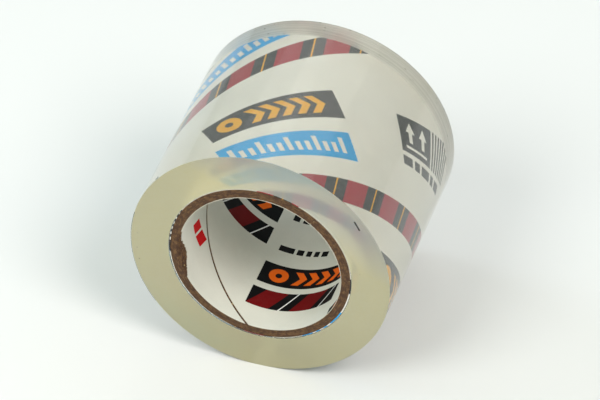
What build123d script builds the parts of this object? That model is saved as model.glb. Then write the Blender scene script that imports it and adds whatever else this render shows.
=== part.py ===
"""Roll of clear packaging tape on a spiral-wound paperboard core, lying on its side.

Millimetres. The origin is the middle of the roll on the core's axis, +Y runs along that axis
and +Z is up. Angles go round the axis from +X towards +Z, so 90 degrees is the top of the roll.
"""

from build123d import *

import os
from math import cos, degrees, pi, radians, sin

# ---- driving dimensions ----
WIDTH = 50.8  # tape and core are cut to one width, 2 in
BORE_DIAMETER = 38.1  # 1.5 in core
LINER_THICKNESS = 0.12  # white paper that lines the bore
KRAFT_THICKNESS = 0.56
KRAFT_PLIES = 4
LABEL_THICKNESS = 0.14  # white paper under the first turn of tape
ROLL_DIAMETER = 61.15
TAPE_LENGTH = 20320.0  # 22.2 yd of tape on a full roll

# ---- spiral winding of the core ----
PLY_PITCH = 96.0  # axial advance of every ply in one turn
LINER_SEAM = 260.5  # angle of each ply's butt seam at the front face
LABEL_SEAM = -3.0
KRAFT_FIRST_SEAM = 305.0
KRAFT_SEAM_STEP = 95.0
LINER_SEAM_GAP = 0.6
PLY_SEAM_GAP = 0.25

# ---- chip torn out of the liner's front edge: angle, depth behind the front face ----
TORN_EDGE = [(162.0, -1.0), (167.0, 0.9), (177.0, 1.7), (182.0, 2.7), (187.0, 3.5), (191.5, 3.9),
             (195.0, 3.4), (198.0, 2.4), (201.0, 1.6), (205.0, 0.4), (207.0, -1.0)]

# ---- free end of the tape ----
PEEL_ANGLE = 165.0  # line where the free end leaves the roll
TIP_ANGLE = 215.0
PEEL_GAP = 0.1  # along the surface, between the winding and the free end
LIFT_GAP = 0.03  # under the free end
TOOTH_COUNT = 20  # serrated cut of a dispenser's blade
TOOTH_DEPTH = 0.9

# ---- worked out from the above ----
FRONT = -WIDTH / 2
BORE_RADIUS = BORE_DIAMETER / 2
KRAFT_RADIUS = BORE_RADIUS + LINER_THICKNESS
LABEL_RADIUS = KRAFT_RADIUS + KRAFT_PLIES * KRAFT_THICKNESS
CORE_RADIUS = LABEL_RADIUS + LABEL_THICKNESS
ROLL_RADIUS = ROLL_DIAMETER / 2
TAPE_THICKNESS = pi * (ROLL_RADIUS**2 - CORE_RADIUS**2) / TAPE_LENGTH
CUTTER_MARGIN = 1.0  # how far a cutter runs past what it cuts


def at(angle, radius):
    """Point of the front plane at an angle and a distance from the axis, as (x, z)."""
    return radius * cos(radians(angle)), radius * sin(radians(angle))


def front_plane(y=FRONT):
    """Sketch plane across the axis whose own x and y run along +X and +Z."""
    return Plane(origin=(0, y, 0), x_dir=(1, 0, 0), z_dir=(0, -1, 0))


def tube(inner_radius, outer_radius, length=WIDTH, front=FRONT):
    ring = Circle(outer_radius) - Circle(inner_radius)
    return extrude(front_plane(front) * ring, amount=-length)


def seam_cutter(inner_radius, outer_radius, angle, gap):
    """Thin blade that follows a butt seam: it starts at angle and twists along the core."""
    length = WIDTH + 2 * CUTTER_MARGIN
    twist = 360.0 * length / PLY_PITCH
    start = angle + 360.0 * CUTTER_MARGIN / PLY_PITCH
    low = inner_radius - CUTTER_MARGIN
    high = outer_radius + CUTTER_MARGIN
    blade = Pos((low + high) / 2, 0) * Rectangle(high - low, gap)
    plane = front_plane(FRONT - CUTTER_MARGIN)
    section = plane * (Rot(0, 0, start) * blade)
    return Solid.extrude_linear_with_rotation(
        section.face(), plane.origin, Vector(0, length, 0), twist
    )


def spiral_ply(inner_radius, thickness, seam_angle, gap):
    """One paper strip wound in a spiral, its edges meeting in a seam that leaves a small gap."""
    outer_radius = inner_radius + thickness
    ply = tube(inner_radius, outer_radius)
    return ply - seam_cutter(inner_radius, outer_radius, seam_angle, gap)


def torn_chip():
    """Piece that is missing from the liner's front edge, cut straight out along the radius."""
    middle = (TORN_EDGE[0][0] + TORN_EDGE[-1][0]) / 2
    plane = Plane(
        origin=(0, FRONT, 0),
        x_dir=(-sin(radians(middle)), 0, cos(radians(middle))),
        z_dir=(cos(radians(middle)), 0, sin(radians(middle))),
    )
    outline = []
    for angle, depth in TORN_EDGE:
        across = BORE_RADIUS * sin(radians(angle - middle))
        outline.append((across, -depth))
    chip = plane * make_face(Polyline(outline, close=True))
    return extrude(chip, amount=BORE_RADIUS + CUTTER_MARGIN)


def core_liner():
    ply = spiral_ply(BORE_RADIUS, LINER_THICKNESS, LINER_SEAM, LINER_SEAM_GAP)
    return ply - torn_chip()


def kraft_ply(number):
    inner_radius = KRAFT_RADIUS + (number - 1) * KRAFT_THICKNESS
    seam = KRAFT_FIRST_SEAM + (number - 1) * KRAFT_SEAM_STEP
    return spiral_ply(inner_radius, KRAFT_THICKNESS, seam, PLY_SEAM_GAP)


def core_label():
    return spiral_ply(LABEL_RADIUS, LABEL_THICKNESS, LABEL_SEAM, PLY_SEAM_GAP)


def tape_winding():
    """Bonded turns of tape. The outside grows by one thickness in a turn, up to the peel line."""
    under = ROLL_RADIUS - TAPE_THICKNESS
    recess = under - LIFT_GAP
    half_way = (TIP_ANGLE + PEEL_ANGLE + 360) / 2
    last_turn = ThreePointArc(
        at(TIP_ANGLE, under), at(half_way, ROLL_RADIUS - TAPE_THICKNESS / 2),
        at(PEEL_ANGLE, ROLL_RADIUS)
    )
    peel_step = Line(at(PEEL_ANGLE, ROLL_RADIUS), at(PEEL_ANGLE, recess))
    bed = ThreePointArc(
        at(PEEL_ANGLE, recess), at((PEEL_ANGLE + TIP_ANGLE) / 2, recess), at(TIP_ANGLE, recess)
    )
    tip_step = Line(at(TIP_ANGLE, recess), at(TIP_ANGLE, under))
    outside = make_face(Curve() + [last_turn, peel_step, bed, tip_step])
    return extrude(front_plane() * (outside - Circle(CORE_RADIUS)), amount=-WIDTH)


def tape_end():
    """Last stretch of tape, lying on the roll, with a serrated cut at its tip."""
    root = PEEL_ANGLE + degrees(PEEL_GAP / ROLL_RADIUS)
    inner_radius = ROLL_RADIUS - TAPE_THICKNESS
    middle = (root + TIP_ANGLE) / 2
    outline = Curve() + [
        ThreePointArc(at(root, ROLL_RADIUS), at(middle, ROLL_RADIUS), at(TIP_ANGLE, ROLL_RADIUS)),
        Line(at(TIP_ANGLE, ROLL_RADIUS), at(TIP_ANGLE, inner_radius)),
        ThreePointArc(at(TIP_ANGLE, inner_radius), at(middle, inner_radius), at(root, inner_radius)),
        Line(at(root, inner_radius), at(root, ROLL_RADIUS)),
    ]
    strip = extrude(front_plane() * make_face(outline), amount=-WIDTH)
    pitch = WIDTH / TOOTH_COUNT
    points = [(FRONT, CUTTER_MARGIN)]
    for tooth in range(TOOTH_COUNT):
        points.append((FRONT + tooth * pitch, 0.0))
        points.append((FRONT + (tooth + 0.5) * pitch, -TOOTH_DEPTH))
    points.append((-FRONT, 0.0))
    points.append((-FRONT, CUTTER_MARGIN))
    tip_x, tip_z = at(TIP_ANGLE, ROLL_RADIUS)
    outward = (cos(radians(TIP_ANGLE)), 0, sin(radians(TIP_ANGLE)))
    plane = Plane(origin=(tip_x, 0, tip_z), x_dir=(0, 1, 0), z_dir=outward)
    teeth = plane * make_face(Polyline(points, close=True))
    return strip - extrude(teeth, amount=CUTTER_MARGIN, both=True)


def main():
    os.makedirs("parts", exist_ok=True)
    nodes = {
        "core_liner": core_liner(),
        "core_label": core_label(),
        "tape_winding": tape_winding(),
        "tape_end": tape_end(),
    }
    for number in range(1, KRAFT_PLIES + 1):
        nodes[f"kraft_ply_{number}"] = kraft_ply(number)
    for name, shape in nodes.items():
        export_step(shape, f"parts/{name}.step")
    print(f"tape thickness {TAPE_THICKNESS:.4f} mm over {TAPE_LENGTH / 1000:.2f} m")


main()
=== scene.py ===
import math
import random

import bmesh
import bpy
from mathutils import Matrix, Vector, noise
from mathutils.geometry import delaunay_2d_cdt


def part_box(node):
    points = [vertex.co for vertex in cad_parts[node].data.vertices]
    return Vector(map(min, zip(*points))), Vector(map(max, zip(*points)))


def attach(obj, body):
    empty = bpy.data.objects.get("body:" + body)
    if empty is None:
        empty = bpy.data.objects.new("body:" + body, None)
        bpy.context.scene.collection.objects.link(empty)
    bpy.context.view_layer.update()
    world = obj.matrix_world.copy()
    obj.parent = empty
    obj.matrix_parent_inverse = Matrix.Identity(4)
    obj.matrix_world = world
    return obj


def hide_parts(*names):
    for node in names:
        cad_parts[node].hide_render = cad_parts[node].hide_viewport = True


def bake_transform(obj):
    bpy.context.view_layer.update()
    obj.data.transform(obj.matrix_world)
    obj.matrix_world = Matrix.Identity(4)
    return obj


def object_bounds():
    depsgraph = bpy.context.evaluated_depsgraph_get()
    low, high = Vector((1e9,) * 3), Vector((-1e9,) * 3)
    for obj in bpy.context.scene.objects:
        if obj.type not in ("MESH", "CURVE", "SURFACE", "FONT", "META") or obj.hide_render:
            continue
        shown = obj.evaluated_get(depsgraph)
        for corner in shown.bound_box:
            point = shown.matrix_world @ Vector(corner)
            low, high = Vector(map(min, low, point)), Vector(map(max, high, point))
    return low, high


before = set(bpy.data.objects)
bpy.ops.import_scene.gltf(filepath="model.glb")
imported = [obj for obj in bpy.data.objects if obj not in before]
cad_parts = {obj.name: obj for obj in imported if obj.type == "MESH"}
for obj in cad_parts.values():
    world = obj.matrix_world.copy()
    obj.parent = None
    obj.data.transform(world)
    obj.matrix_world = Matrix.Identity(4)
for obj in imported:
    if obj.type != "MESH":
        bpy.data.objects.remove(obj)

CAD_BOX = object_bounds()
MM = 0.001

# ---- sizes, in millimetres, as the CAD model has them ----
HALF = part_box("tape_winding")[1].y / MM
BORE_R = 19.05
LINER_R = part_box("core_liner")[1].z / MM
KRAFT_R = [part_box(f"kraft_ply_{n}")[1].z / MM for n in (1, 2, 3, 4)]
LABEL_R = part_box("core_label")[1].z / MM
TAPE_T = 0.0727
ROLL_R = 30.575
LIFT_GAP = 0.03
PEEL_ANGLE = 165.0
PEEL_GAP = 0.02  # degrees between the winding and the free end
TIP_ANGLE = 215.0
TOOTH_COUNT = 20
TOOTH_DEPTH = 0.9
PLY_PITCH = 96.0  # how far a ply's seam runs along the core in one turn
LINER_SEAM = 260.5  # angle of each ply's seam at the front face
LABEL_SEAM = -3.0
KRAFT_FIRST_SEAM = 305.0
KRAFT_SEAM_STEP = 95.0
PLY_GAP = 0.25  # width of a seam
LINER_GAP_FRONT = 0.8
LINER_GAP_BACK = 1.5
FLOOR_Z = CAD_BOX[0].z


# ---------------------------------------------------------------- small helpers
def polar(radius, angle, y):
    """Point in metres from a radius in mm, an angle in degrees from +X towards +Z, and y in mm."""
    a = math.radians(angle)
    return Vector((radius * math.cos(a), y, radius * math.sin(a))) * MM


def linear(r, g, b):
    """Linear colour from 0 to 255 display values."""
    def one(c):
        c /= 255.0
        return c / 12.92 if c <= 0.04045 else ((c + 0.055) / 1.055) ** 2.4
    return (one(r), one(g), one(b), 1.0)


def node(tree, kind, inputs=None, **settings):
    """New node. inputs maps a socket to its value, or to the output that drives it."""
    made = tree.nodes.new(kind)
    for key, value in settings.items():
        setattr(made, key, value)
    for key, value in (inputs or {}).items():
        if isinstance(value, bpy.types.NodeSocket):
            tree.links.new(value, made.inputs[key])
        else:
            made.inputs[key].default_value = value
    return made


def math_node(tree, operation, *values):
    made = tree.nodes.new("ShaderNodeMath")
    made.operation = operation
    for i, value in enumerate(values):
        if isinstance(value, bpy.types.NodeSocket):
            tree.links.new(value, made.inputs[i])
        else:
            made.inputs[i].default_value = value
    return made.outputs[0]


def mix_colour(tree, factor, a, b, blend="MIX"):
    made = tree.nodes.new("ShaderNodeMix")
    made.data_type = "RGBA"
    made.blend_type = blend
    for socket, value in ((made.inputs[0], factor), (made.inputs[6], a), (made.inputs[7], b)):
        if isinstance(value, bpy.types.NodeSocket):
            tree.links.new(value, socket)
        else:
            socket.default_value = value
    return made.outputs[2]


def ramp(tree, value, low, high, a=0.0, b=1.0):
    """a where value is at low, b where it is at high, and no further."""
    made = node(tree, "ShaderNodeMapRange", {"Value": value, "From Min": low, "From Max": high,
                                             "To Min": a, "To Max": b})
    return made.outputs["Result"]


def new_material(name):
    made = bpy.data.materials.new(name)
    made.use_nodes = True
    tree = made.node_tree
    tree.nodes.clear()
    out = node(tree, "ShaderNodeOutputMaterial")
    shader = node(tree, "ShaderNodeBsdfPrincipled")
    tree.links.new(shader.outputs[0], out.inputs["Surface"])
    return made, tree, shader, out


def cylinder_coordinates(tree, around=1.0, along=1.0, across=1.0):
    """Vector for noise that follows the winding, the object's x, y and z, and the distance from the
    axis. around, along and across stretch the noise by angle, by y and by radius."""
    place = node(tree, "ShaderNodeTexCoord").outputs["Object"]
    parts = node(tree, "ShaderNodeSeparateXYZ", {0: place})
    angle = math_node(tree, "ARCTAN2", parts.outputs[2], parts.outputs[0])
    square = math_node(tree, "ADD", math_node(tree, "POWER", parts.outputs[0], 2.0),
                       math_node(tree, "POWER", parts.outputs[2], 2.0))
    radius = math_node(tree, "SQRT", square)
    # the angle's cosine and sine keep the noise free of a seam
    cosine = math_node(tree, "MULTIPLY", math_node(tree, "COSINE", angle), around)
    sine = math_node(tree, "MULTIPLY", math_node(tree, "SINE", angle), around)
    y = math_node(tree, "MULTIPLY", parts.outputs[1], along / MM)
    r = math_node(tree, "MULTIPLY", radius, across / MM)
    flat = node(tree, "ShaderNodeCombineXYZ", {0: cosine, 1: sine, 2: math_node(tree, "ADD", y, r)})
    return flat.outputs[0], parts, radius


# ---------------------------------------------------------------- materials
TAPE_IOR = 1.49
LINER_GLOSS = 0.6  # roughness of the inks inside the bore, which dry matt


def paper_material(name, colour, fibre=0.05, grain=0.03):
    """Matt paper: cloudy fibre, and a fine grain in its colour, roughness and surface."""
    made, tree, shader, _ = new_material(name)
    place = node(tree, "ShaderNodeTexCoord").outputs["Object"]
    cloud = node(tree, "ShaderNodeTexNoise", {"Vector": place, "Scale": 160.0, "Detail": 6.0,
                                              "Roughness": 0.65})
    fine = node(tree, "ShaderNodeTexNoise", {"Vector": place, "Scale": 3500.0, "Detail": 3.0,
                                             "Roughness": 0.7})
    darker = tuple(c * (1 - fibre) for c in colour[:3]) + (1.0,)
    lighter = tuple(min(1.0, c * (1 + grain)) for c in colour[:3]) + (1.0,)
    base = mix_colour(tree, ramp(tree, cloud.outputs[0], 0.35, 0.65), darker, colour)
    base = mix_colour(tree, ramp(tree, fine.outputs[0], 0.45, 0.75, 0.0, 0.6), base, lighter)
    tree.links.new(base, shader.inputs["Base Color"])
    rough = ramp(tree, fine.outputs[0], 0.3, 0.7, 0.55, 0.72)
    tree.links.new(rough, shader.inputs["Roughness"])
    bump = node(tree, "ShaderNodeBump", {"Height": fine.outputs[0], "Strength": 0.12,
                                         "Distance": 0.00003})
    tree.links.new(bump.outputs[0], shader.inputs["Normal"])
    return made


def ink_material(name, colour, gloss=0.45, wear=0.06, pinholes=0.3):
    """Solid ink on paper: slightly uneven coverage, with the paper showing in pinholes."""
    made, tree, shader, _ = new_material(name)
    place = node(tree, "ShaderNodeTexCoord").outputs["Object"]
    cloud = node(tree, "ShaderNodeTexNoise", {"Vector": place, "Scale": 700.0, "Detail": 5.0,
                                              "Roughness": 0.7})
    pins = node(tree, "ShaderNodeTexNoise", {"Vector": place, "Scale": 5200.0, "Detail": 2.0})
    thin = tuple(c + (0.75 - c) * wear for c in colour[:3]) + (1.0,)
    base = mix_colour(tree, ramp(tree, cloud.outputs[0], 0.35, 0.7), colour, thin)
    base = mix_colour(tree, ramp(tree, pins.outputs[0], 0.68, 0.8, 0.0, pinholes), base,
                      (0.72, 0.71, 0.68, 1.0))
    tree.links.new(base, shader.inputs["Base Color"])
    rough = ramp(tree, cloud.outputs[0], 0.3, 0.7, gloss - 0.06, gloss + 0.1)
    tree.links.new(rough, shader.inputs["Roughness"])
    shader.inputs["Specular IOR Level"].default_value = 0.12
    return made


def kraft_material():
    """Brown board: fibres drawn round the core, darker lumps and a few pale flecks."""
    made, tree, shader, _ = new_material("kraft_board")
    place, _, _ = cylinder_coordinates(tree, around=9.0, along=1.2, across=3.6)
    object_place = node(tree, "ShaderNodeTexCoord").outputs["Object"]
    fibre = node(tree, "ShaderNodeTexNoise", {"Vector": place, "Scale": 1.7, "Detail": 8.0,
                                              "Roughness": 0.7})
    lumps = node(tree, "ShaderNodeTexNoise", {"Vector": object_place, "Scale": 900.0, "Detail": 6.0,
                                              "Roughness": 0.7})
    flecks = node(tree, "ShaderNodeTexVoronoi", {"Vector": object_place, "Scale": 900.0})
    dark = linear(58, 38, 28)
    mid = linear(126, 92, 57)
    pale = linear(214, 188, 138)
    base = mix_colour(tree, ramp(tree, fibre.outputs[0], 0.36, 0.62), dark, mid)
    base = mix_colour(tree, ramp(tree, lumps.outputs[0], 0.44, 0.58, 0.0, 0.85), base,
                      linear(72, 47, 33))
    spot = ramp(tree, flecks.outputs["Distance"], 0.12, 0.26, 1.0, 0.0)
    chosen = ramp(tree, flecks.outputs["Color"], 0.74, 0.80)
    base = mix_colour(tree, math_node(tree, "MULTIPLY", spot, chosen), base, pale)
    tree.links.new(base, shader.inputs["Base Color"])
    shader.inputs["Roughness"].default_value = 0.88
    height = math_node(tree, "ADD", fibre.outputs[0], lumps.outputs[0])
    bump = node(tree, "ShaderNodeBump", {"Height": height, "Strength": 0.6, "Distance": 0.00012})
    tree.links.new(bump.outputs[0], shader.inputs["Normal"])
    return made


def clear_volume(tree, out):
    """Faint yellow of the tape and its adhesive, deeper the further light goes through it."""
    absorb = node(tree, "ShaderNodeVolumeAbsorption",
                  {"Color": (0.86, 0.80, 0.10, 1.0), "Density": 4.5})
    tree.links.new(absorb.outputs[0], out.inputs["Volume"])


def tape_side_material():
    """Outer turns: glossy film with a faint haze of trapped air and slight streaks."""
    made, tree, shader, out = new_material("tape_side")
    place, _, _ = cylinder_coordinates(tree, around=2.2, along=3.0, across=0.0)
    streak = node(tree, "ShaderNodeTexNoise", {"Vector": place, "Scale": 1.0, "Detail": 5.0,
                                               "Roughness": 0.6})
    shader.inputs["Base Color"].default_value = (1.0, 0.997, 0.985, 1.0)
    shader.inputs["Transmission Weight"].default_value = 0.92
    shader.inputs["IOR"].default_value = TAPE_IOR
    shader.inputs["Sheen Weight"].default_value = 0.04
    shader.inputs["Sheen Roughness"].default_value = 0.6
    rough = ramp(tree, streak.outputs[0], 0.35, 0.7, 0.06, 0.13)
    tree.links.new(rough, shader.inputs["Roughness"])
    bump = node(tree, "ShaderNodeBump", {"Height": streak.outputs[0], "Strength": 0.05,
                                         "Distance": 0.00003})
    tree.links.new(bump.outputs[0], shader.inputs["Normal"])
    clear_volume(tree, out)
    return made


def fibre_mask(tree, place, start, end, half_width):
    """1 near the line from start to end, 0 away from it."""
    along = end - start
    offset = node(tree, "ShaderNodeVectorMath", {0: place, 1: tuple(start)}, operation="SUBTRACT")
    offset = offset.outputs[0]
    dot = node(tree, "ShaderNodeVectorMath", {0: offset, 1: tuple(along)}, operation="DOT_PRODUCT")
    share = ramp(tree, dot.outputs["Value"], 0.0, along.length_squared)
    nearest = node(tree, "ShaderNodeVectorMath", {0: tuple(along), "Scale": share},
                   operation="SCALE").outputs[0]
    gap = node(tree, "ShaderNodeVectorMath", {0: offset, 1: nearest}, operation="DISTANCE")
    return ramp(tree, gap.outputs["Value"], half_width * 0.7 * MM, half_width * MM, 1.0, 0.0)


def tape_edge_material(name, clear_share, streaks):
    """Cut edges of the turns: translucent, creamy, with a few specks of dust and one dark fibre.
    Towards the top right the colour is painted paler and bluish as painted light, and towards the
    bottom painted darker as painted shade. clear_share is how much light goes through. streaks,
    from 0 to 1, is how much groups of turns differ, as they do on the side where they were wound
    unevenly, and also how much the inner side is painted pale as painted light, with a painted
    highlight line at the innermost turns."""
    made, tree, shader, out = new_material(name)
    place, parts, radius = cylinder_coordinates(tree, around=1.2, along=0.0, across=5.0)
    rings = node(tree, "ShaderNodeTexNoise", {"Vector": place, "Scale": 1.0, "Detail": 4.0,
                                              "Roughness": 0.6})
    object_place = node(tree, "ShaderNodeTexCoord").outputs["Object"]
    soft = node(tree, "ShaderNodeTexNoise", {"Vector": object_place, "Scale": 1600.0, "Detail": 4.0,
                                             "Roughness": 0.6})
    dust = node(tree, "ShaderNodeTexVoronoi", {"Vector": object_place, "Scale": 420.0})
    speck = ramp(tree, dust.outputs["Distance"], 0.07, 0.13, 0.8, 0.0)
    chosen = ramp(tree, dust.outputs["Color"], 0.50, 0.55)
    speck = math_node(tree, "MULTIPLY", speck, chosen)
    base = mix_colour(tree, ramp(tree, soft.outputs[0], 0.3, 0.7), linear(251, 245, 206),
                      linear(253, 248, 213))
    # painted light: towards the top right the edge colour is painted paler and bluish, as if lit
    # from above
    upward = math_node(tree, "ADD", math_node(tree, "MULTIPLY", parts.outputs["Z"], 0.9),
                       math_node(tree, "MULTIPLY", parts.outputs["X"], 0.45))
    top = ramp(tree, upward, 14.5 * MM, 25.0 * MM)
    base = mix_colour(tree, top, base, linear(241, 246, 252))
    # painted shade: towards the bottom the edge colour is painted darker
    foot = ramp(tree, parts.outputs["Z"], -30.0 * MM, -12.0 * MM, 1.0, 0.0)
    base = mix_colour(tree, foot, base, linear(236, 230, 191))
    groups = node(tree, "ShaderNodeTexNoise", {"W": math_node(tree, "MULTIPLY", radius, 1.1 / MM),
                                               "Scale": 1.0, "Detail": 4.0, "Roughness": 0.7},
                  noise_dimensions="1D")
    uneven = mix_colour(tree, ramp(tree, groups.outputs[0], 0.42, 0.60), linear(232, 233, 233),
                        linear(255, 255, 255))
    # painted highlight: a thin white line painted along the innermost turns
    painted_edge_highlight = ramp(tree, radius, (LABEL_R + 0.5) * MM, (LABEL_R + 0.9) * MM, 1.0, 0.0)
    uneven = mix_colour(tree, painted_edge_highlight, uneven, (1.0, 1.0, 1.0, 1.0))
    # painted light: looked at from inside the tape, past the label, the uneven turns are painted
    # pale, as if lit
    inner_side_painted_pale = node(tree, "ShaderNodeNewGeometry").outputs["Backfacing"]
    inner_side_painted_pale = math_node(tree, "MULTIPLY", inner_side_painted_pale, streaks)
    base = mix_colour(tree, streaks, base, uneven, blend="MULTIPLY")
    base = mix_colour(tree, inner_side_painted_pale, base, uneven)
    base = mix_colour(tree, speck, base, linear(96, 90, 74))
    near_fibre = fibre_mask(tree, object_place, polar(28.45, 35.1, -HALF),
                            polar(28.8, 39.7, -HALF), 0.24)
    base = mix_colour(tree, near_fibre, base, linear(20, 18, 14))
    tree.links.new(base, shader.inputs["Base Color"])
    # near the top right, where the colour is painted paler, more light goes through; the fibre and
    # the inner side let less
    clear = math_node(tree, "ADD", clear_share, math_node(tree, "MULTIPLY", top, 0.13))
    clear = math_node(tree, "MULTIPLY", clear, ramp(tree, near_fibre, 0.0, 1.0, 1.0, 0.0))
    clear = math_node(tree, "SUBTRACT", clear, math_node(tree, "MULTIPLY", inner_side_painted_pale, 0.5))
    tree.links.new(clear, shader.inputs["Transmission Weight"])
    shader.inputs["IOR"].default_value = TAPE_IOR
    rough = ramp(tree, soft.outputs[0], 0.3, 0.7, 0.285, 0.315)
    rough = math_node(tree, "ADD", rough, math_node(tree, "MULTIPLY", top, 0.08))
    tree.links.new(rough, shader.inputs["Roughness"])
    ring_height = math_node(tree, "MULTIPLY", rings.outputs[0], streaks)
    height = math_node(tree, "ADD", ring_height, soft.outputs[0])
    bump = node(tree, "ShaderNodeBump", {"Height": height, "Strength": 0.03, "Distance": 0.00002})
    tree.links.new(bump.outputs[0], shader.inputs["Normal"])
    clear_volume(tree, out)
    return made


def film_material():
    """One layer of the tape, too thin to show its yellow."""
    made, tree, shader, _ = new_material("tape_film")
    place = node(tree, "ShaderNodeTexCoord").outputs["Object"]
    streak = node(tree, "ShaderNodeTexNoise", {"Vector": place, "Scale": 90.0, "Detail": 4.0})
    shader.inputs["Base Color"].default_value = (0.96, 0.96, 0.92, 1.0)
    shader.inputs["Transmission Weight"].default_value = 0.95
    shader.inputs["IOR"].default_value = TAPE_IOR
    rough = ramp(tree, streak.outputs[0], 0.35, 0.7, 0.02, 0.09)
    tree.links.new(rough, shader.inputs["Roughness"])
    bump = node(tree, "ShaderNodeBump", {"Height": streak.outputs[0], "Strength": 0.15,
                                         "Distance": 0.00005})
    tree.links.new(bump.outputs[0], shader.inputs["Normal"])
    return made


def floor_material():
    made, tree, shader, _ = new_material("studio_floor")
    place = node(tree, "ShaderNodeTexCoord").outputs["Object"]
    cloud = node(tree, "ShaderNodeTexNoise", {"Vector": place, "Scale": 6.0, "Detail": 3.0})
    base = mix_colour(tree, cloud.outputs[0], (0.83, 0.85, 0.87, 1.0), (0.86, 0.87, 0.88, 1.0))
    tree.links.new(base, shader.inputs["Base Color"])
    shader.inputs["Roughness"].default_value = 0.75
    return made


# ---------------------------------------------------------------- flat strips rolled into plies
VOID = -1
UV_SPAN = 100.0  # mm of strip to one unit of its UV map
UV_ROW = 0.05  # mm by which the cut edge's rows are spread in the map


def ccw(points):
    """The polygon's points in counter-clockwise order."""
    area = sum(a[0] * b[1] - b[0] * a[1] for a, b in zip(points, points[1:] + points[:1]))
    return points if area > 0 else points[::-1]


def triangulate(outline, art, step):
    """Points and flat triangles inside outline. art is a list of (polygon, ink), later ones on top;
    VOID cuts a hole. Lines across the strip every step mm let it bend into a tube."""
    verts = []
    edges = []
    faces = []

    def add_face(points):
        first = len(verts)
        verts.extend(Vector(p) for p in points)
        faces.append(list(range(first, len(verts))))

    add_face(ccw(list(outline)))
    for polygon, _ in art:
        add_face(ccw(list(polygon)))
    low = min(p[0] for p in outline)
    high = max(p[0] for p in outline)
    bottom = min(p[1] for p in outline)
    top = max(p[1] for p in outline)
    count = math.ceil((high - low) / step)
    for i in range(1, count):
        x = low + (high - low) * i / count
        edges.append((len(verts), len(verts) + 1))
        verts.extend((Vector((x, bottom)), Vector((x, top))))
    points, _, triangles, _, _, sources = delaunay_2d_cdt(verts, edges, faces, 0, 1e-5, True)
    kept = []
    for triangle, source in zip(triangles, sources):
        if 0 not in source:
            continue
        top_most = max(source)
        ink = 0 if top_most == 0 else art[top_most - 1][1]
        if ink != VOID:
            kept.append((triangle, ink))
    return points, kept


def roll_up(name, flat, face_r, back_r, materials, cut_ink=0, bleed=False, rows=1,
            relief=None, dent=None, press=None):
    """Closed ply from flat triangles: printed face at face_r, hidden back at back_r.
    relief(radius, angle, y) moves the cut ends along y, dent(angle, y) moves the face inward and
    press(radius, angle, y) all of it. Cut edges take cut_ink, and with bleed the print runs over
    them."""
    points, triangles = flat
    bm = bmesh.new()
    uv = bm.loops.layers.uv.new("strip")
    ring = {}

    def vertex(index, row):
        key = (index, row)
        if key not in ring:
            x, y = points[index]
            angle = math.degrees(x / face_r)
            radius = face_r + (back_r - face_r) * row / rows
            if dent and row == 0:
                radius -= dent(angle, y)
            if press:
                radius -= press(radius, angle, y)
            if relief:
                y += relief(radius, angle, y)
            ring[key] = bm.verts.new(polar(radius, angle, y))
        return ring[key]

    def add(corners, ink):
        face = bm.faces.new([vertex(i, row) for i, row in corners])
        face.material_index = ink
        face.smooth = True
        for loop, (i, row) in zip(face.loops, corners):
            loop[uv].uv = (points[i][0] / UV_SPAN, (points[i][1] + row * UV_ROW) / UV_SPAN)

    used = {}
    for triangle, ink in triangles:
        add([(i, 0) for i in triangle], ink)
        add([(i, rows) for i in reversed(triangle)], 0)
        for a, b in zip(triangle, triangle[1:] + triangle[:1]):
            key = (min(a, b), max(a, b))
            used[key] = None if key in used else (a, b, ink if bleed and ink else cut_ink)
    for edge in used.values():
        if edge is None:
            continue
        a, b, ink = edge
        for row in range(rows):
            add([(b, row), (a, row), (a, row + 1), (b, row + 1)], ink)
    bmesh.ops.recalc_face_normals(bm, faces=bm.faces)
    return finish_mesh(name, bm, materials)


def finish_mesh(name, bm, materials, sharp=40.0):
    """Object from bm, with edges sharper than sharp degrees kept sharp."""
    mesh = bpy.data.meshes.new(name)
    bm.to_mesh(mesh)
    bm.free()
    for made in materials:
        mesh.materials.append(made)
    mesh.set_sharp_from_angle(angle=math.radians(sharp))
    made = bpy.data.objects.new(name, mesh)
    bpy.context.scene.collection.objects.link(made)
    return made


def seam_angle(front_angle, y):
    """Angle of a ply's seam at y, from its angle at the front face."""
    return front_angle - 360.0 * (y + HALF) / PLY_PITCH


def strip_outline(face_r, front_angle, front_gap, back_gap):
    """The spiral ply laid flat, x round the core in mm and y along it."""
    scale = math.radians(1.0) * face_r
    turn = 360.0 * scale
    front = seam_angle(front_angle, -HALF) * scale
    back = seam_angle(front_angle, HALF) * scale
    return [(front + front_gap / 2, -HALF), (front + turn - front_gap / 2, -HALF),
            (back + turn - back_gap / 2, HALF), (back + back_gap / 2, HALF)]


# ---------------------------------------------------------------- artwork shapes, in mm
def box_points(x0, x1, y0, y1):
    return [(x0, y0), (x1, y0), (x1, y1), (x0, y1)]


def disc(x, y, radius, count=28):
    turns = [2 * math.pi * i / count for i in range(count)]
    return [(x + radius * math.cos(turn), y + radius * math.sin(turn)) for turn in turns]


def chevron(x, y, width, height, thick):
    half = height / 2
    return [(x, y + half), (x + thick, y + half), (x + thick + width, y), (x + thick, y - half),
            (x, y - half), (x + width, y)]


def slanted(x, width, y0, y1, lean):
    return [(x, y0), (x + width, y0), (x + width + lean, y1), (x + lean, y1)]


def up_arrow(x, y, width, height):
    head = height * 0.5
    stem = width * 0.2
    half = width / 2
    neck = y + height - head
    return [(x - stem, y), (x + stem, y), (x + stem, neck), (x + half, neck), (x, y + height),
            (x - half, neck), (x - stem, neck)]


# inks, in the order of a ply's materials
PAPER, SLATE, AMBER, SKY, WHITE, RED, CUT, SCARLET = range(8)
CHEVRONS = 5
TICKS = 13


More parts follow.
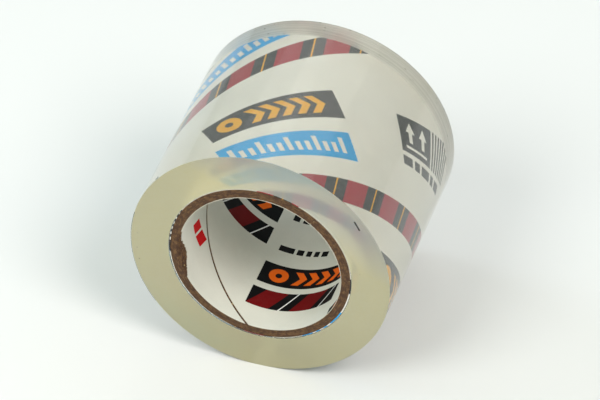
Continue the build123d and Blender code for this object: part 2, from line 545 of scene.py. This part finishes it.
def signal_block(x, y, length, height, back, front):
    """Dark panel with a disc and a row of chevrons."""
    art = [(box_points(x, x + length, y, y + height), back)]
    middle = y + height / 2
    size = height * 0.66
    art.append((disc(x + height * 0.62, middle, size / 2), front))
    art.append((disc(x + height * 0.62, middle, size / 6), back))
    start = x + height * 1.12
    pitch = (length - height * 1.55) / CHEVRONS
    for i in range(CHEVRONS):
        art.append((chevron(start + i * pitch, middle, size * 0.36, size, pitch * 0.56), front))
    return art


def scale_block(x, y, length, height, back, front):
    """Panel with a row of long and short ticks, like a ruler."""
    art = [(box_points(x, x + length, y, y + height), back)]
    pitch = (length - 3.0) / TICKS
    foot = y + height * 0.22
    for i in range(TICKS):
        tall = height * (0.56 if i % 3 == 0 else 0.36)
        left = x + 1.8 + i * pitch
        art.append((box_points(left, left + pitch * 0.52, foot, foot + tall), front))
    return art


def stripe_band(x0, x1, y0, y1, period, dark, bright, line):
    """Band of slanted two-colour stripes with a thin line in every dark one."""
    art = [(box_points(x0, x1, y0, y1), dark)]
    lean = (y1 - y0) * 0.55
    count = int((x1 - x0 - lean) / period) + 1
    for i in range(count):
        x = x0 + i * period
        if x + period * 0.52 + lean > x1:
            break
        art.append((slanted(x, period * 0.52, y0, y1, lean), bright))
        if x + period * 0.8 + lean < x1:
            art.append((slanted(x + period * 0.74, 0.35, y0, y1, lean), line))
    return art


def arrow_panel(x, y, length, height, back, front):
    """Dark panel with two arrows over a bar, this way up, and a hatched end."""
    solid = length * 0.56
    art = [(box_points(x, x + solid, y, y + height), back)]
    for share in (0.3, 0.7):
        arrow = up_arrow(x + solid * share, y + height * 0.3, solid * 0.26, height * 0.56)
        art.append((arrow, front))
    bar = box_points(x + solid * 0.14, x + solid * 0.86, y + height * 0.13, y + height * 0.2)
    art.append((bar, front))
    left = x + solid + 0.7
    while left < x + length:
        art.append((box_points(left, left + 0.75, y, y + height), back))
        left += 1.35
    return art


def dash_row(x, y, height, lengths, gap, ink):
    """Row of dashes that stands for a line of print."""
    art = []
    for length in lengths:
        art.append((box_points(x, x + length, y, y + height), ink))
        x += length + gap
    return art


# ---------------------------------------------------------------- the label under the tape
ART_LEAN = math.radians(36.4)
BAND_ENDS = (-132.0, 95.0)
BAND_HALF = 3.0
BAND_CENTRES = (-41.75, -3.0, 38.6)
BLOCK_LENGTH = 28.3
RULER_LENGTH = 28.5
PRESSED_DEPTH = 0.31  # how far behind the front face the core's corner is rolled in
PRESSED_IN = 0.34
BORDER = 0.3


def on_label(art):
    """From the print's own axes, along and across the strip, to the flat ply."""
    c, s = math.cos(ART_LEAN), math.sin(ART_LEAN)
    return [([(-(c * u - s * v), s * u + c * v) for u, v in polygon], ink) for polygon, ink in art]


def rolled_in(radius, angle, y):
    """The slitting knife presses the core's outer corner inward, most along its lower half."""
    depth = y + HALF
    if depth > PRESSED_DEPTH:
        return 0.0
    lower = min(1.0, max(0.0, 0.9 - 2.2 * math.cos(math.radians(angle - 80.0))))
    near = max(0.0, (radius - KRAFT_R[2]) / (LABEL_R - KRAFT_R[2]))
    return PRESSED_IN * lower * near * (1.0 - depth / PRESSED_DEPTH)


def front_strip(low, high):
    """Outline of the strip's front border, there to give the border its own row of points."""
    return box_points(low, high, -HALF, -HALF + BORDER)


def label_art():
    """Bands along the strip, with blocks and panels between them. A shape that crosses the seam is
    listed again one turn further."""
    art = []
    for centre in BAND_CENTRES:
        art += stripe_band(*BAND_ENDS, centre - BAND_HALF, centre + BAND_HALF, 10.6,
                           SLATE, RED, AMBER)
    # along and across the strip, height of the dark block and of the blue one under it
    blocks = ((-46.1, 16.4, 8.0, 7.2), (-46.1, 56.4, 8.0, 7.2), (-16.1, -22.3, 9.0, 8.0),
              (-125.1, 58.05, 9.0, 8.0), (29.9, -22.3, 9.0, 8.0), (-79.1, 58.05, 9.0, 8.0))
    for along, across, tall, low in blocks:
        art += signal_block(along, across, BLOCK_LENGTH, tall, SLATE, AMBER)
        art += scale_block(along - 0.9, across - 3.9 - low, RULER_LENGTH, low, SKY, WHITE)
    for along, across in ((-3.6, 12.6), (-79.6, 12.6)):
        art += arrow_panel(along, across, 20.6, 8.2, SLATE, PAPER)
        art += dash_row(along, across - 3.0, 2.0, (3.4, 2.2, 4.0, 1.8, 3.4), 0.9, SLATE)
    return on_label(art)


def make_label(inks):
    outline = strip_outline(LABEL_R, LABEL_SEAM, PLY_GAP, PLY_GAP)
    art = [(front_strip(-10.0, 140.0), PAPER)] + label_art()
    flat = triangulate(outline, art, step=0.6)
    return roll_up("printed_label", flat, LABEL_R, KRAFT_R[-1], inks, cut_ink=CUT, bleed=True,
                   press=rolled_in)


# ---------------------------------------------------------------- the liner inside the bore
# angle, and how far behind the front face the liner is torn away
TORN_EDGE = [(162.0, -1.0), (167.0, 0.9), (177.0, 1.7), (182.0, 2.7), (187.0, 3.5), (191.5, 3.9),
             (195.0, 3.4), (198.0, 2.4), (201.0, 1.6), (205.0, 0.4), (207.0, -1.0)]


def ragged(points, spread, parts, seed):
    """A line with each piece broken into parts and pushed about, as a tear runs."""
    rng = random.Random(seed)
    made = []
    for a, b in zip(points, points[1:]):
        for i in range(parts):
            t = i / parts
            wander = spread if i else 0.0
            offset = rng.uniform(-wander, wander)
            made.append((a[0] + (b[0] - a[0]) * t, a[1] + (b[1] - a[1]) * t + offset))
    made.append(points[-1])
    return made


def torn_depth(angle):
    """How far behind the front face the liner is torn away at an angle."""
    for (a, low), (b, high) in zip(TORN_EDGE, TORN_EDGE[1:]):
        if a <= angle <= b:
            return low + (high - low) * (angle - a) / (b - a)
    return -1.0


def liner_art():
    """Print inside the bore, by angle and y. Angles past 360 are the strip's next turn."""
    scale = math.radians(1.0) * BORE_R
    art = []

    def at(angle):
        return angle * scale

    def block(angle, y):
        return signal_block(at(angle), y, 26.6, 7.0, SLATE, AMBER)

    def band(first, last, y0, y1):
        return stripe_band(at(first), at(last), y0, y1, 10.4, SLATE, RED, WHITE)

    art += block(252.8, -10.8)
    art += band(252.5, 321.0, -18.8, -12.7)
    art += block(168.5, 9.0)
    art += band(179.7, 248.2, 1.1, 6.9)
    art += dash_row(at(257.5), 0.9, 1.9, (3.6, 1.6, 1.2, 1.2, 1.6), 0.7, SLATE)
    art += dash_row(at(257.5), 11.9, 2.4, (1.6, 2.4, 1.2, 2.0), 0.8, SLATE)
    art.append((slanted(at(544.5), 6.2, -15.6, -11.8, 0.9), SCARLET))
    art.append((slanted(at(544.5) + 2.6, 0.6, -15.6, -11.8, 0.9), PAPER))
    art += block(326.0, -30.2)
    # the side that faces away from the front view
    art += block(385.0, -10.8)
    art += band(385.0, 453.5, -18.8, -12.7)
    art += block(300.0, 12.4)
    art += band(300.0, 368.5, 4.4, 10.4)
    art += dash_row(at(470.0), -8.0, 1.9, (3.6, 1.6, 1.2, 1.2, 1.6), 0.7, SLATE)
    torn = [(at(angle + 360.0), -HALF + depth) for angle, depth in TORN_EDGE]
    torn = ragged(torn, spread=0.3, parts=6, seed=4)
    art.append((torn, VOID))
    return art


def make_liner(inks):
    outline = strip_outline(BORE_R, LINER_SEAM, LINER_GAP_FRONT, LINER_GAP_BACK)
    flat = triangulate(outline, liner_art(), step=0.55)
    return roll_up("bore_liner", flat, BORE_R, LINER_R, inks, cut_ink=CUT)


# ---------------------------------------------------------------- kraft plies
KRAFT_ROWS = 4  # of faces through each ply's thickness
TORN_CELL = 0.30  # fine squares where the board is laid bare
TORN_CELLS_ROUND = 50
TORN_CELLS_DEEP = 16
TORN_CELLS_START = 522.0  # degrees, on the strip's next turn


def kraft_relief(radius, angle, y):
    """Sawn ends of the board: fibres stand up and plies part a little at their edges."""
    if abs(abs(y) - HALF) > 1e-3:
        return 0.0
    way = 1.0 if y > 0 else -1.0
    around = math.radians(angle) * radius
    place = Vector((around * 0.9, radius * 4.0, way * 30.0))
    lumps = noise.fractal(place, 0.8, 2.1, 4)
    chipped = 0.0
    if y < 0 and radius < KRAFT_R[0]:
        share = min(1.0, max(0.0, torn_depth(angle % 360.0) / 2.0))
        chipped = share * (0.15 + 0.9 * abs(lumps)) * (KRAFT_R[0] - radius) / (KRAFT_R[0] - LINER_R)
    return -way * (0.05 - 0.07 * lumps + chipped)


def torn_fibres(angle, y):
    """Board laid bare where the liner is torn away: split fibres stand proud of its face."""
    depth = y + HALF
    wrapped = angle % 360.0
    inside = min(1.0, (torn_depth(wrapped) - depth) / 0.5)
    if inside <= 0:
        return 0.0
    place = Vector((wrapped * 0.6, depth * 1.9, 3.0))
    return inside * (0.04 + 0.34 * abs(noise.fractal(place, 0.7, 2.2, 4)))


def make_kraft(number, inner_r, outer_r, material):
    seam = KRAFT_FIRST_SEAM + KRAFT_SEAM_STEP * (number - 1)
    outline = strip_outline(inner_r, seam, PLY_GAP, PLY_GAP)
    innermost = number == 1
    outermost = number == len(KRAFT_R)
    cells = []
    if innermost:
        start = TORN_CELLS_START * (math.radians(1.0) * inner_r)
        for i in range(TORN_CELLS_ROUND):
            for j in range(TORN_CELLS_DEEP):
                x = start + i * TORN_CELL
                y = -HALF + j * TORN_CELL
                cells.append((box_points(x, x + TORN_CELL, y, y + TORN_CELL), 0))
    if outermost:
        cells.append((front_strip(0.0, 400.0), 0))
    flat = triangulate(outline, cells, step=0.45)
    return roll_up(f"kraft_board_{number}", flat, inner_r, outer_r, [material], rows=KRAFT_ROWS,
                   relief=kraft_relief, dent=torn_fibres if innermost else None,
                   press=rolled_in if outermost else None)


# ---------------------------------------------------------------- the wound tape
TURN_STATIONS = 480
FACE_RINGS = 56
WALL_ROWS = 44
UNEVEN = 0.05  # how much the edges of groups of turns stand back on the back face
BULGE = 0.012
RIPPLE = 0.006
SIDE, FRONT_EDGE, BACK_EDGE = range(3)


def winding_radius(angle):
    """Outside of the winding: a spiral up to the peel line, lower where the free end lies on it."""
    turned = (angle - TIP_ANGLE) % 360.0
    span = 360.0 - (TIP_ANGLE - PEEL_ANGLE)
    if turned > span:
        return ROLL_R - TAPE_T - LIFT_GAP
    return ROLL_R - TAPE_T + TAPE_T * turned / span


def make_winding(side, front_edge, back_edge):
    """The bonded turns as one body: its outline across the tape, carried round the core."""
    rng = random.Random(11)
    angles = [360.0 * i / TURN_STATIONS for i in range(TURN_STATIONS)]
    angles = sorted(angles + [PEEL_ANGLE + PEEL_GAP, TIP_ANGLE - PEEL_GAP])
    steps = [rng.uniform(-1, 1) for _ in range(FACE_RINGS + 1)]
    smooth = [sum(steps[max(0, i - 1):i + 2]) / 3 for i in range(FACE_RINGS + 1)]
    hidden_r = LABEL_R - 0.10
    face_inner = LABEL_R + 0.06
    wall_insets = (0.04, 0.055, 0.08, 0.14)
    wall_end = HALF - wall_insets[-1]

    def cut_face(angle, outer, way):
        """Points of the front face (way -1) or the back face (way 1), from the core outward."""
        kind, uneven = (FRONT_EDGE, 0.0) if way < 0 else (BACK_EDGE, UNEVEN)
        x, z = math.cos(math.radians(angle)), math.sin(math.radians(angle))
        face = []
        for i in range(FACE_RINGS + 1):
            radius = face_inner + (outer - 0.05 - face_inner) * i / FACE_RINGS
            wave = noise.noise(Vector((x, z, i * 0.12 + way * 7.0)))
            depth = uneven * smooth[i] + BULGE * wave
            edge_fade = min(1.0, i / 3.0, (FACE_RINGS - i) / 3.0)
            face.append((radius, way * (HALF - abs(depth) * edge_fade), kind))
        face.append((outer - 0.015, way * (HALF - 0.012), kind))
        return face + [(outer, way * (HALF - inset), SIDE) for inset in wall_insets]

    def profile(angle):
        """The outline as (radius, y, material), from the core round the back face to the front."""
        outer = winding_radius(angle)
        x, z = math.cos(math.radians(angle)), math.sin(math.radians(angle))
        loop = [(hidden_r, -HALF + 0.16, SIDE), (hidden_r, HALF - 0.16, SIDE)]
        loop += cut_face(angle, outer, 1)
        for row in range(1, WALL_ROWS):
            y = wall_end - 2 * wall_end * row / WALL_ROWS
            ripple = RIPPLE * noise.noise(Vector((x * 1.5, z * 1.5, y * 0.25)))
            loop.append((outer - abs(ripple), y, SIDE))
        return loop + cut_face(angle, outer, -1)[::-1]

    bm = bmesh.new()
    columns = []
    for angle in angles:
        columns.append([bm.verts.new(polar(r, angle, y)) for r, y, _ in profile(angle)])
    kinds = [kind for _, _, kind in profile(0.0)]
    size = len(kinds)
    for i, column in enumerate(columns):
        after = columns[(i + 1) % len(columns)]
        for j in range(size):
            k = (j + 1) % size
            face = bm.faces.new((column[j], column[k], after[k], after[j]))
            face.material_index = min(kinds[j], kinds[k])
            face.smooth = True
    bmesh.ops.recalc_face_normals(bm, faces=bm.faces)
    return finish_mesh("wound_tape", bm, [side, front_edge, back_edge], sharp=50.0)


def make_free_end(material):
    """Last stretch of tape, with a serrated cut at its tip."""
    scale = math.radians(1.0) * ROLL_R
    root = (PEEL_ANGLE + PEEL_GAP) * scale
    tip = TIP_ANGLE * scale
    pitch = 2 * HALF / TOOTH_COUNT
    outline = [(root, -HALF)]
    for i in range(TOOTH_COUNT):
        outline.append((tip, -HALF + i * pitch))
        outline.append((tip - TOOTH_DEPTH, -HALF + (i + 0.5) * pitch))
    outline += [(tip, HALF), (root, HALF)]
    flat = triangulate(outline, [], step=0.5)
    return roll_up("free_end_film", flat, ROLL_R, ROLL_R - TAPE_T, [material])


# ---------------------------------------------------------------- put the object together
inks = [
    paper_material("label_paper", linear(253, 252, 249)),
    ink_material("ink_slate", linear(15, 25, 36)),
    ink_material("ink_amber", linear(255, 186, 8), wear=0.03, pinholes=0.15),
    ink_material("ink_sky", linear(0, 176, 255), wear=0.02, pinholes=0.15),
    ink_material("ink_white", linear(244, 245, 245)),
    ink_material("ink_red", linear(172, 2, 44), wear=0.03),
    paper_material("paper_cut", linear(206, 200, 184)),
]
liner_inks = list(inks)
liner_inks[PAPER] = paper_material("liner_paper", linear(226, 227, 219))
liner_inks[SLATE] = ink_material("ink_black", linear(4, 5, 9), LINER_GLOSS, 0.005, 0.06)
liner_inks[AMBER] = ink_material("ink_orange", linear(246, 106, 2), LINER_GLOSS, 0.02, 0.1)
liner_inks[RED] = ink_material("ink_crimson", linear(112, 1, 6), LINER_GLOSS, 0.01, 0.1)
liner_inks.append(ink_material("ink_scarlet", linear(206, 6, 16), LINER_GLOSS, 0.01, 0.05))
kraft = kraft_material()


def keep(piece, node_name):
    """Let a piece of the roll stand for its CAD node."""
    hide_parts(node_name)
    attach(piece, "roll")


keep(make_label(inks), "core_label")
keep(make_liner(liner_inks), "core_liner")
inner = LINER_R
for number, outer in enumerate(KRAFT_R, start=1):
    keep(make_kraft(number, inner, outer, kraft), f"kraft_ply_{number}")
    inner = outer
winding = make_winding(tape_side_material(),
                       tape_edge_material("tape_edge_front", clear_share=0.60, streaks=0.0),
                       tape_edge_material("tape_edge_back", clear_share=0.56, streaks=1.0))
keep(winding, "tape_winding")

film = make_free_end(film_material())
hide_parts("tape_end")
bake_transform(film)


# ---------------------------------------------------------------- floor, light and camera
def make_floor():
    bm = bmesh.new()
    bmesh.ops.create_grid(bm, x_segments=8, y_segments=8, size=3.0)
    made = finish_mesh("floor", bm, [floor_material()])
    made.location.z = FLOOR_Z


def make_world():
    world = bpy.data.worlds.new("studio")
    world.use_nodes = True
    bpy.context.scene.world = world
    background = world.node_tree.nodes["Background"]
    background.inputs["Color"].default_value = (0.89, 1.0, 0.845, 1.0)
    background.inputs["Strength"].default_value = 0.338


LIGHT_DISTANCE = 1.5


def area_light(name, azimuth, elevation, size, power, colour, tall=None):
    """Soft light aimed at the roll, from azimuth degrees round from the front towards +X."""
    data = bpy.data.lights.new(name, "AREA")
    data.shape = "RECTANGLE" if tall else "DISK"
    data.size = size
    data.size_y = tall or size
    data.energy = power
    data.color = colour
    made = bpy.data.objects.new(name, data)
    a = math.radians(azimuth)
    e = math.radians(elevation)
    away = Vector((math.sin(a) * math.cos(e), -math.cos(a) * math.cos(e), math.sin(e)))
    made.location = away * LIGHT_DISTANCE
    made.rotation_mode = "QUATERNION"
    made.rotation_quaternion = away.to_track_quat("Z", "Y")
    bpy.context.scene.collection.objects.link(made)


def make_camera():
    data = bpy.data.cameras.new("camera")
    data.lens = 300.7
    data.sensor_width = 36.0
    made = bpy.data.objects.new("camera", data)
    bpy.context.scene.collection.objects.link(made)
    place = Vector((0.2656, -0.8263, 0.7429))
    forward = Vector((-0.23116, 0.72294, -0.65109))
    made.location = place
    made.rotation_mode = "QUATERNION"
    made.rotation_quaternion = forward.to_track_quat("-Z", "Y")
    bpy.context.scene.camera = made


make_floor()
make_world()
area_light("key", 58.0, 48.0, 0.7, 11.3, (1.0, 0.915, 0.86))
area_light("fill", -34.0, 46.0, 0.8, 9.5, (0.98, 1.0, 0.935))
area_light("side", -95.0, 25.0, 1.0, 7.8, (0.80, 0.89, 1.0))
area_light("back_right", 130.0, 45.0, 0.9, 1.8, (0.52, 0.70, 1.0))
area_light("window", 177.5, 51.0, 0.95, 1.8, (1.0, 0.966, 0.883), tall=0.75)
area_light("back_left", -150.0, 45.0, 0.9, 1.0, (1.0, 1.0, 1.0))
make_camera()
bpy.context.scene.view_settings.view_transform = "Standard"
